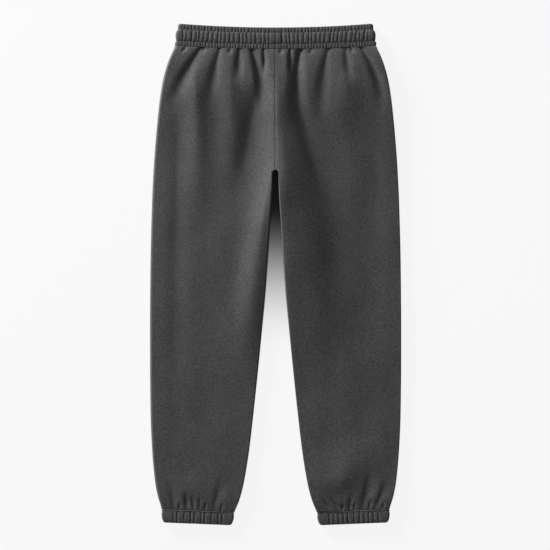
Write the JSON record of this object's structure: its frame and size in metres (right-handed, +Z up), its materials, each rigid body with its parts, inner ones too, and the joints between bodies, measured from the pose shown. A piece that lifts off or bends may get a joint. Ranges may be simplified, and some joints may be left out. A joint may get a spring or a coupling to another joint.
{
  "type": "sweatpants",
  "caption": "Fleece sweatpants laid flat with the back up: straight legs gathered into elastic ankle cuffs, below a gathered elastic waistband.",
  "frame": {"origin": "centre of the garment's bounding box, on the surface it lies on", "axes": "+Y from the ankles towards the waistband, +Z up out of the surface, so that the back of the garment faces +Z and the wearer's right is towards +X"},
  "size_m": [0.5112, 1.019, 0.0262],
  "materials": {
    "panel_fleece": "matte charcoal brushed fleece, faintly mottled, with a short soft nap",
    "waistband_fleece": "matte charcoal brushed fleece gathered over elastic",
    "cuff_fleece": "matte charcoal brushed fleece gathered over elastic"
  },
  "bodies": {
    "root": {"waistband": "waistband_fleece", "back_panel_left": "panel_fleece", "back_panel_right": "panel_fleece", "front_panel_left": "panel_fleece", "front_panel_right": "panel_fleece", "ankle_cuff_left": "cuff_fleece", "ankle_cuff_right": "cuff_fleece"}
  },
  "joints": []
}
